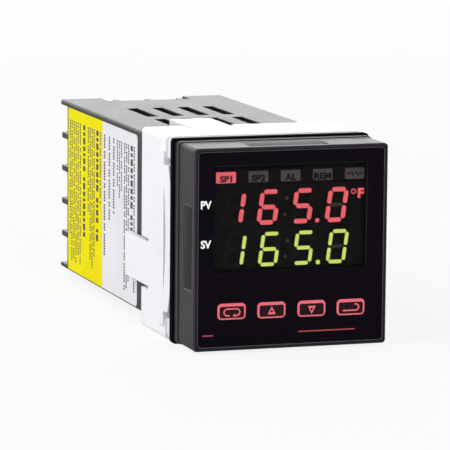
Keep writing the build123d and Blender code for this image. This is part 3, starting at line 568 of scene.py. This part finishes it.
def textPlate(name, words, height, middle, material, body, slotName, face, bold, widen):
    # letters scaled to a height about their own middle, their two sides moved to the print's two depths
    curve = bpy.data.curves.new(name, "FONT")
    curve.body = words
    curve.align_x = "CENTER"
    curve.align_y = "CENTER"
    curve.size = 1.0
    curve.offset = bold
    curve.extrude = 0.01
    curve.resolution_u = 4
    text = bpy.data.objects.new(name, curve)
    bpy.context.scene.collection.objects.link(text)
    bpy.context.view_layer.update()
    mesh = bpy.data.meshes.new_from_object(text.evaluated_get(bpy.context.evaluated_depsgraph_get()))
    bpy.data.objects.remove(text)
    points = np.array([v.co for v in mesh.vertices])
    faces = [list(face.vertices) for face in mesh.polygons]
    bpy.data.meshes.remove(mesh)
    low, high = points.min(0), points.max(0)
    size = height / (high[1] - low[1])
    points[:, :2] = (points[:, :2] - (low[:2] + high[:2]) / 2) * size
    front, rear = inkOn(face)
    depth = np.where(points[:, 2] > 0, front, rear)
    placed = np.stack([points[:, 0] * widen + middle[0], depth, points[:, 1] + middle[1]], -1) * mm
    return makePiece(name, placed, faces, material, body, slotName)


# Digits: bars of light in front of the modules' own raised bars

# half: from a figure's middle to its uprights; level: up to its top bar; lean: across for each unit up
digit = {
    "pitch": 8.5, "level": 3.63, "half": 1.97, "lean": 0.142, "drop": 0.45, "flat": 3.3, "tall": 3.12,
    "rise": 0.05, "point": 1.0, "pointAcross": 3.65, "pointDrop": 3.6,
}
unlit = {"barShare": 0.8, "rise": 0.04, "dot": 0.9, "dotPoints": 16, "dotRise": 1.9}
rows = {
    "red": {"module": "red_digit_module", "material": "litRed", "shift": -0.8, "bar": 1.1},
    "green": {"module": "green_digit_module", "material": "litGreen", "shift": -0.5, "bar": 0.88},
}
shapes = {"0": "abcdef", "1": "bc", "5": "acdfg", "6": "acdefg"}
reading = "1650"
pointAfter = 2     # the figure that the point follows, counted from 0
colonAfter = 1


def digitPlaces(shift):
    # middle of each figure across, evenly spaced about the shift
    return [(number - (len(reading) - 1) / 2) * digit["pitch"] + shift for number in range(len(reading))]


def digitBars(bars):
    # (across, up, angle, length) of each named bar, leaning to the right with height
    half, level, flat, tall = (digit[size] for size in ("half", "level", "flat", "tall"))
    upright = math.pi / 2 - math.atan(digit["lean"])
    spots = {"a": (0, level, 0, flat), "g": (0, 0, 0, flat), "d": (0, -level, 0, flat),
             "f": (-half, level / 2, upright, tall), "b": (half, level / 2, upright, tall),
             "e": (-half, -level / 2, upright, tall), "c": (half, -level / 2, upright, tall)}
    return [(x + digit["lean"] * z, z, angle, length) for x, z, angle, length in (spots[bar] for bar in bars)]


def lightRow(name, row):
    # lit figures and point of one row, then its unlit marks; gives the height of the row's middle
    low, high = boxOf(row["module"])
    middle = (low[2] + high[2]) / 2 - digit["drop"]
    places = digitPlaces(row["shift"])
    solids = []
    for place, figure in zip(places, reading):
        for x, z, angle, length in digitBars(shapes[figure]):
            solids.append(domedBar((place + x, middle + z), angle, length, row["bar"], displayFace + inkSink,
                                   digit["rise"]))
    size = digit["point"]
    pointSpot = np.array([places[pointAfter] + digit["pointAcross"], middle - digit["pointDrop"]])
    solids.append(litPlate(roundedOutline(size, size, size / 3) + pointSpot))
    makePiece(f"lit_{name}_digits", *joinArrays(solids), row["material"], "chassis", "display_black")
    # unlit ones that the neighbours' light picks out: the nought's middle bar and the two colon dots
    faint = [domedBar((places[-1], middle), 0.0, digit["flat"], row["bar"] * unlit["barShare"],
                      displayFace + inkSink, unlit["rise"])]
    across = (places[colonAfter] + places[colonAfter + 1]) / 2
    dot = roundedOutline(unlit["dot"], unlit["dot"], unlit["dot"] / 2, unlit["dotPoints"])
    for side in (-1, 1):
        spot = np.array([across + side * digit["lean"] * unlit["dotRise"], middle + side * unlit["dotRise"]])
        faint.append(litPlate(dot + spot))
    makePiece(f"unlit_{name}_marks", *joinArrays(faint), "unlitBar", "chassis", "display_black")
    return middle


redMiddle = lightRow("red", rows["red"])
lightRow("green", rows["green"])

# ring and letter beside the red row; places are across, and up from the row's middle
unitMark = {"ring": 0.52, "ringWidth": 0.24, "ringPoints": 32, "ringAt": (16.15, 3.0),
            "letterAt": (18.0, 2.55), "height": 2.4, "bold": 0.05, "widen": 1.1}


def circleOutline(radius, spot):
    # points at equal turns t: spot plus radius times (cos t, sin t)
    t = 2 * np.pi * np.arange(unitMark["ringPoints"]) / unitMark["ringPoints"]
    return spot + np.stack([np.cos(t), np.sin(t)], -1) * radius


ringSpot = np.array([unitMark["ringAt"][0], redMiddle + unitMark["ringAt"][1]])
ringOuter = circleOutline(unitMark["ring"] + unitMark["ringWidth"] / 2, ringSpot)
ringInner = circleOutline(unitMark["ring"] - unitMark["ringWidth"] / 2, ringSpot)
makePiece("degree_ring", *frontRing(ringOuter, ringInner, *inkOn(displayFace)), "litRed", "chassis",
          "display_black")
letterSpot = (unitMark["letterAt"][0], redMiddle + unitMark["letterAt"][1])
textPlate("unit_letter", "F", unitMark["height"], letterSpot, "litRed", "chassis", "display_black",
          displayFace, unitMark["bold"], unitMark["widen"])
print("digits lit")


# Indicators above the digits: one lit, four dark

indicator = {"width": 4.9, "height": 2.65, "radius": 0.3, "pitch": 8.0, "shift": 0.35,
             "outlinePoints": 32, "letter": 1.6, "letterDrop": 0.35, "bold": 0.05, "widen": 1.15,
             "inkRise": 0.005, "zigzag": 0.95, "zigzagLine": 0.36, "names": ["SP1", "SP2", "AL", "REM", ""]}
barLow, barHigh = boxOf("indicator_bar")
barMiddle = (barLow[2] + barHigh[2]) / 2
tileInkFace = displayFace - litRise + indicator["inkRise"]


def zigzagPath():
    # level lead, four slopes between teeth up and down, level lead
    teeth = [(-2.0, 0), (-1.2, 0), (-0.9, 0.55), (-0.3, -0.55), (0.3, 0.55), (0.9, -0.55), (1.2, 0), (2.0, 0)]
    return np.array(teeth) * indicator["zigzag"]


for number, word in enumerate(indicator["names"]):
    across = indicator["shift"] + (number - 2) * indicator["pitch"]
    middle = np.array([across, barMiddle])
    tileOutline = roundedOutline(indicator["width"], indicator["height"], indicator["radius"],
                                 indicator["outlinePoints"])
    lit = number == 0
    makePiece(f"indicator_tile_{number + 1}", *litPlate(tileOutline + middle),
              "litRed" if lit else "tileGrey", "chassis", "display_black")
    if word:
        textPlate(f"indicator_word_{number + 1}", word, indicator["letter"],
                  (across, barMiddle - indicator["letterDrop"]), "litTileInk" if lit else "tileInk",
                  "chassis", "display_black", tileInkFace, indicator["bold"], indicator["widen"])
    else:
        makePiece(f"indicator_word_{number + 1}",
                  *strokePlate(zigzagPath() + middle, indicator["zigzagLine"], *inkOn(tileInkFace)),
                  "tileInk", "chassis", "display_black")
print("indicators placed")


# Print on the film: row names, key outlines with their signs, and the rule below them

rowName = {"height": 1.95, "bold": 0.03, "widen": 0.9,
           "places": {"PV": (-21.15, 10.75), "SV": (-21.15, 1.45)}}
for words, spot in rowName["places"].items():
    textPlate(f"row_name_{words.lower()}", words, rowName["height"], spot, "paintedGlowInkWhite", "chassis", "film",
              filmFront, rowName["bold"], rowName["widen"])

key = {"width": 7.0, "height": 3.85, "radius": 1.05, "top": 0.75, "left": 0.55, "right": 0.4,
       "bottom": 0.34, "innerRadius": 0.5, "line": 0.34, "fieldRise": 0.008, "signShift": (0.1, -0.22),
       "triangle": 1.8, "triangleHole": 0.75}
keySpots = {"cycle": (-14.72, -14.63), "up": (-4.84, -14.73), "down": (5.14, -14.79),
            "enter": (14.99, -14.89)}


def keyOutlines(spot):
    # rounded outline and the smaller one inside it, whose border is widest at the top
    outer = roundedOutline(key["width"], key["height"], key["radius"]) + spot
    inner = roundedOutline(key["width"] - key["left"] - key["right"],
                           key["height"] - key["top"] - key["bottom"], key["innerRadius"])
    inner += spot + np.array([(key["left"] - key["right"]) / 2, (key["bottom"] - key["top"]) / 2])
    return outer, inner


def arcPath(middle, radius, start, stop, count=12):
    # points at equal turns between two angles in degrees: middle plus radius times (cos t, sin t)
    angles = np.radians(np.linspace(start, stop, count))
    return np.stack([middle[0] + radius * np.cos(angles), middle[1] + radius * np.sin(angles)], -1)


def triangleOutline(size, turned):
    # three corners, which match point for point between sign and hole
    corners = np.array([[-0.56, -0.45], [0.56, -0.45], [0.0, 0.62]]) * size
    return corners * np.array([1, -1]) if turned else corners


def keySign(name, spot):
    # up and down: a triangle with a hole; cycle and enter: a bent line with an arrow head
    front, rear = inkOn(filmFront)
    if name in ("up", "down"):
        sign = triangleOutline(key["triangle"], name == "down") + spot
        hole = triangleOutline(key["triangleHole"], name == "down") + spot
        return [frontRing(sign, hole, front, rear)]
    if name == "cycle":
        loop = np.concatenate([[[-0.55, -0.8]], arcPath((-1.15, 0.0), 0.8, 260, 90),
                               arcPath((1.15, 0.0), 0.8, 90, -80), [[0.75, -0.8]]])
        head = np.array([[0.15, -0.8], [0.85, -0.35], [0.85, -1.2]])
    else:
        loop = np.concatenate([[[-1.75, -0.6]], [[0.9, -0.6]], arcPath((1.2, 0.15), 0.75, -80, 110)])
        head = np.array([[-2.2, -0.6], [-1.5, -0.25], [-1.5, -0.95]])
    return [strokePlate(loop + spot, key["line"], front, rear), frontPlate(head + spot, front, rear)]


for name, spot in keySpots.items():
    spot = np.array(spot)
    outer, inner = keyOutlines(spot)
    makePiece(f"key_outline_{name}", *frontRing(outer, inner, *inkOn(filmFront)), "inkRed", "chassis", "film")
    makePiece(f"key_field_{name}", *frontPlate(inner, filmFront - key["fieldRise"], filmFront + inkSink),
              "keyField", "chassis", "film")
    makePiece(f"key_sign_{name}", *joinArrays(keySign(name, spot + np.array(key["signShift"]))), "inkRed",
              "chassis", "film")

rule = {"z": -20.2, "width": 0.3, "stretches": [(-21.9, -19.2), (2.0, 16.1)]}
ruleSolids = [strokePlate([(low, rule["z"]), (high, rule["z"])], rule["width"], *inkOn(filmFront))
              for low, high in rule["stretches"]]
makePiece("film_rule", *joinArrays(ruleSolids), "ruleRed", "chassis", "film")
print("film printed")


# Side labels: rows of small dark bars that run down the label

def sidePlate(yLow, yHigh, zLow, zHigh, face):
    # thin upright patch on the left side, between two depths and two heights
    corners = np.array([[yLow, zLow], [yHigh, zLow], [yHigh, zHigh], [yLow, zHigh]])
    rings = [np.stack([np.full(4, x), corners[:, 0], corners[:, 1]], -1) for x in inkOn(face)]
    return np.concatenate(rings) * mm, gridFaces(2, 4) + [[0, 1, 2, 3], [4, 5, 6, 7]]


# each row: distance from the label's front edge, height of its bars, length of the row
whitePrint = {"margin": 3.2, "rows": [
    (2.6, 0.9, 36), (4.8, 1.9, 28), (7.6, 0.9, 35), (9.3, 0.9, 36), (11.0, 0.9, 37), (13.7, 0.8, 12),
    (15.5, 0.8, 15), (17.3, 0.8, 12), (20.6, 1.1, 19), (24.6, 1.1, 22), (28.9, 1.2, 31)]}
yellowPrint = {"margin": 3.0, "rows": [
    (1.9, 0.9, 18), (4.6, 2.0, 27), (7.6, 0.9, 33), (9.4, 0.9, 36), (11.2, 0.9, 34), (13.0, 0.9, 22),
    (16.9, 2.0, 29), (20.6, 0.9, 37), (22.6, 0.9, 35), (24.6, 0.9, 37), (26.6, 0.9, 36), (28.6, 0.9, 37),
    (30.3, 0.8, 30)]}
markStyles = {
    "small": {"lengths": [0.52], "gap": 0.2, "space": 0.55, "words": [5, 3, 7, 2, 4, 6, 3, 8, 2, 5]},
    "tall": {"lengths": [1.3, 0.9, 1.7, 1.2, 0.8, 1.5], "gap": 0.55, "space": 1.1, "words": [7, 9, 4]},
    "tallFrom": 1.5,
}


def labelPrint(node, look):
    # rows of plain bars run down the label, in groups of as many bars as the words list says
    low, high = boxOf(node)
    solids = []
    for number, (place, height, reach) in enumerate(look["rows"]):
        style = markStyles["tall" if height > markStyles["tallFrom"] else "small"]
        y = low[1] + place
        z = high[2] - look["margin"]
        end = z - reach
        word, mark, left = number, 0, style["words"][number % len(style["words"])]
        while z > end:
            length = style["lengths"][mark % len(style["lengths"])]
            solids.append(sidePlate(y - height / 2, y + height / 2, z - length, z, low[0]))
            z -= length + style["gap"]
            mark += 1
            left -= 1
            if left == 0:
                z -= style["space"]
                word += 1
                left = style["words"][word % len(style["words"])]
    return joinArrays(solids)


makePiece("white_label_print", *labelPrint("white_label", whitePrint), "inkBlack", "case", "label_white")
makePiece("yellow_label_print", *labelPrint("yellow_label", yellowPrint), "inkBlack", "case", "label_yellow")
print("labels printed")


# Camera at the photograph's place

cameraLook = {"place": (-265.65, -774.62, 123.66), "yaw": 18.197, "pitch": 8.403, "roll": 0.492,
              "focalPixels": 3452.4, "imagePixels": 450, "middlePixel": (224.39, 225.19), "sensor": 36,
              "nearest": 0.01, "farthest": 20}


def addCamera():
    data = bpy.data.cameras.new("camera")
    data.sensor_width = cameraLook["sensor"]
    data.lens = cameraLook["focalPixels"] / cameraLook["imagePixels"] * cameraLook["sensor"]
    data.shift_x = 0.5 - cameraLook["middlePixel"][0] / cameraLook["imagePixels"]
    data.shift_y = cameraLook["middlePixel"][1] / cameraLook["imagePixels"] - 0.5
    data.clip_start = cameraLook["nearest"]
    data.clip_end = cameraLook["farthest"]
    camera = bpy.data.objects.new("camera", data)
    bpy.context.scene.collection.objects.link(camera)
    yaw, pitch, roll = (math.radians(cameraLook[turn]) for turn in ("yaw", "pitch", "roll"))
    turn = Matrix.Rotation(-yaw, 4, "Z") @ Matrix.Rotation(math.pi / 2 - pitch, 4, "X") @ Matrix.Rotation(
        roll, 4, "Z")
    camera.matrix_world = Matrix.Translation(Vector(cameraLook["place"]) * mm) @ turn
    bpy.context.scene.camera = camera


addCamera()


# Floor, lamps and world: lengths in metres

floorLook = {"size": 4.0, "base": (0.75, 0.75, 0.75, 1), "roughness": 0.9, "glossShare": 0.3,
             "near": 0.3, "far": 1.2, "nearWhite": 0.86}
worldLook = {"fill": (0.34, 0.34, 0.35, 1), "seen": (1, 1, 1, 1)}


def addFloor():
    # plane under the object: mostly plain white to the camera, lit as pale plastic by the lamps
    floorLevel = cadBox[0][2]
    size = floorLook["size"]
    mesh = bpy.data.meshes.new("floor")
    corners = [(-size, -size, floorLevel), (size, -size, floorLevel), (size, size, floorLevel),
               (-size, size, floorLevel)]
    mesh.from_pydata(corners, [], [(0, 1, 2, 3)])
    floor = bpy.data.objects.new("floor", mesh)
    bpy.context.scene.collection.objects.link(floor)
    material = bpy.data.materials.new("paleFloor")
    material.use_nodes = True
    tree = material.node_tree
    shader = tree.nodes["Principled BSDF"]
    setInputs(shader, Base_Color=floorLook["base"], Roughness=floorLook["roughness"])
    glow = addNode(tree, "ShaderNodeEmission", (-100, -300))
    setInputs(glow, Color=(1, 1, 1, 1), Strength=1.0)
    path = addNode(tree, "ShaderNodeLightPath", (-500, 300))
    seen = addNode(tree, "ShaderNodeMath", (-300, 300), operation="MULTIPLY_ADD")
    tree.links.new(path.outputs["Is Glossy Ray"], seen.inputs[0])
    seen.inputs[1].default_value = floorLook["glossShare"]
    tree.links.new(path.outputs["Is Camera Ray"], seen.inputs[2])
    # plain white far out, so that floor and world meet with no line; near the object its shadow shows
    place = addNode(tree, "ShaderNodeTexCoord", (-900, 500))
    reach = addNode(tree, "ShaderNodeVectorMath", (-700, 500), operation="LENGTH")
    tree.links.new(place.outputs["Object"], reach.inputs[0])
    white = spreadRange(tree, (-500, 500), reach.outputs["Value"], floorLook["near"], floorLook["far"],
                        floorLook["nearWhite"], 1.0)
    share = addNode(tree, "ShaderNodeMath", (-120, 300), operation="MULTIPLY")
    tree.links.new(seen.outputs[0], share.inputs[0])
    tree.links.new(white, share.inputs[1])
    mix = addNode(tree, "ShaderNodeMixShader", (100, 100))
    tree.links.new(share.outputs[0], mix.inputs[0])
    tree.links.new(shader.outputs[0], mix.inputs[1])
    tree.links.new(glow.outputs[0], mix.inputs[2])
    tree.links.new(mix.outputs[0], tree.nodes["Material Output"].inputs["Surface"])
    mesh.materials.append(material)


def addLamp(name, place, aim, width, height, power):
    data = bpy.data.lights.new(name, "AREA")
    data.shape = "RECTANGLE"
    data.size = width
    data.size_y = height
    data.energy = power
    lamp = bpy.data.objects.new(name, data)
    bpy.context.scene.collection.objects.link(lamp)
    direction = Vector(aim) - Vector(place)
    lamp.matrix_world = Matrix.Translation(place) @ direction.to_track_quat("-Z", "Y").to_matrix().to_4x4()


def addWorld():
    # grey light from all round, white to the camera and in mirrors
    world = bpy.data.worlds.new("studio")
    bpy.context.scene.world = world
    world.use_nodes = True
    tree = world.node_tree
    shader = tree.nodes["Background"]
    path = addNode(tree, "ShaderNodeLightPath", (-700, 200))
    either = addNode(tree, "ShaderNodeMath", (-500, 200), operation="MAXIMUM")
    tree.links.new(path.outputs["Is Camera Ray"], either.inputs[0])
    tree.links.new(path.outputs["Is Glossy Ray"], either.inputs[1])
    seen = addNode(tree, "ShaderNodeMath", (-320, 200), operation="MAXIMUM")
    tree.links.new(either.outputs[0], seen.inputs[0])
    tree.links.new(path.outputs["Is Transmission Ray"], seen.inputs[1])
    color = mixColors(tree, (-150, 200), seen.outputs[0], worldLook["fill"], worldLook["seen"])
    tree.links.new(color, shader.inputs["Color"])


# place, aim, width, height and power in watts
lamps = {
    "keyLamp": ((-0.75, -0.1, 0.8), (0, 0.05, 0), 0.7, 0.7, 8.3),
    "backLamp": ((0.48, 1.5, 0.28), (0, 0.05, 0), 2.0, 0.6, 12.0),
    "frontLamp": ((0.1, -1.2, 0.5), (0, 0, 0), 0.6, 0.6, 3.0),
}
addFloor()
for name, values in lamps.items():
    addLamp(name, *values)
addWorld()
bpy.context.scene.view_settings.view_transform = "Standard"
print("camera, floor and lamps set")
